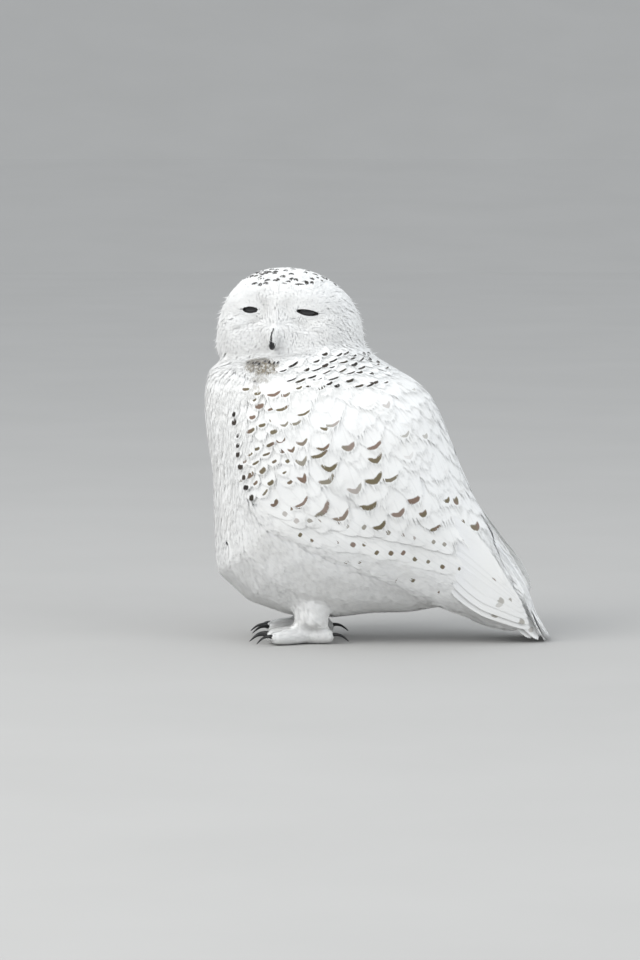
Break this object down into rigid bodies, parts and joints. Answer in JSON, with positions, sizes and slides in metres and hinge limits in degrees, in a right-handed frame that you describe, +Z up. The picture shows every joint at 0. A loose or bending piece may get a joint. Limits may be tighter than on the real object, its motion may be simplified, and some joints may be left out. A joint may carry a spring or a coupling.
{
  "type": "snowy owl",
  "caption": "Life-size standing snowy owl with folded wings, its head turned over its shoulder, resting on feathered feet and tail tip.",
  "frame": {"origin": "on the floor, under the middle of the bird's outline", "axes": "+Z up; the breast faces -Y and the tail +Y; the bird's left side is +X, and the face looks towards it"},
  "size_m": [0.2476, 0.4042, 0.4398],
  "materials": {
    "feathers": "soft matt white plumage with small dark brown bars, crescents and spots",
    "eyes": "wet gloss, nearly black behind half-closed lids",
    "horn": "semi-gloss black horn"
  },
  "bodies": {
    "root": {"head": "feathers", "neck": "feathers", "trunk": "feathers", "tail": "feathers", "wing_left": "feathers", "wing_right": "feathers", "leg_left": "feathers", "leg_right": "feathers", "foot_left": "feathers", "foot_right": "feathers", "eye_left": "eyes", "eye_right": "eyes", "bill_upper": "horn", "bill_lower": "horn", "claw_left_inner": "horn", "claw_left_middle": "horn", "claw_left_outer": "horn", "claw_left_hind": "horn", "claw_right_inner": "horn", "claw_right_middle": "horn", "claw_right_outer": "horn", "claw_right_hind": "horn"}
  },
  "joints": []
}
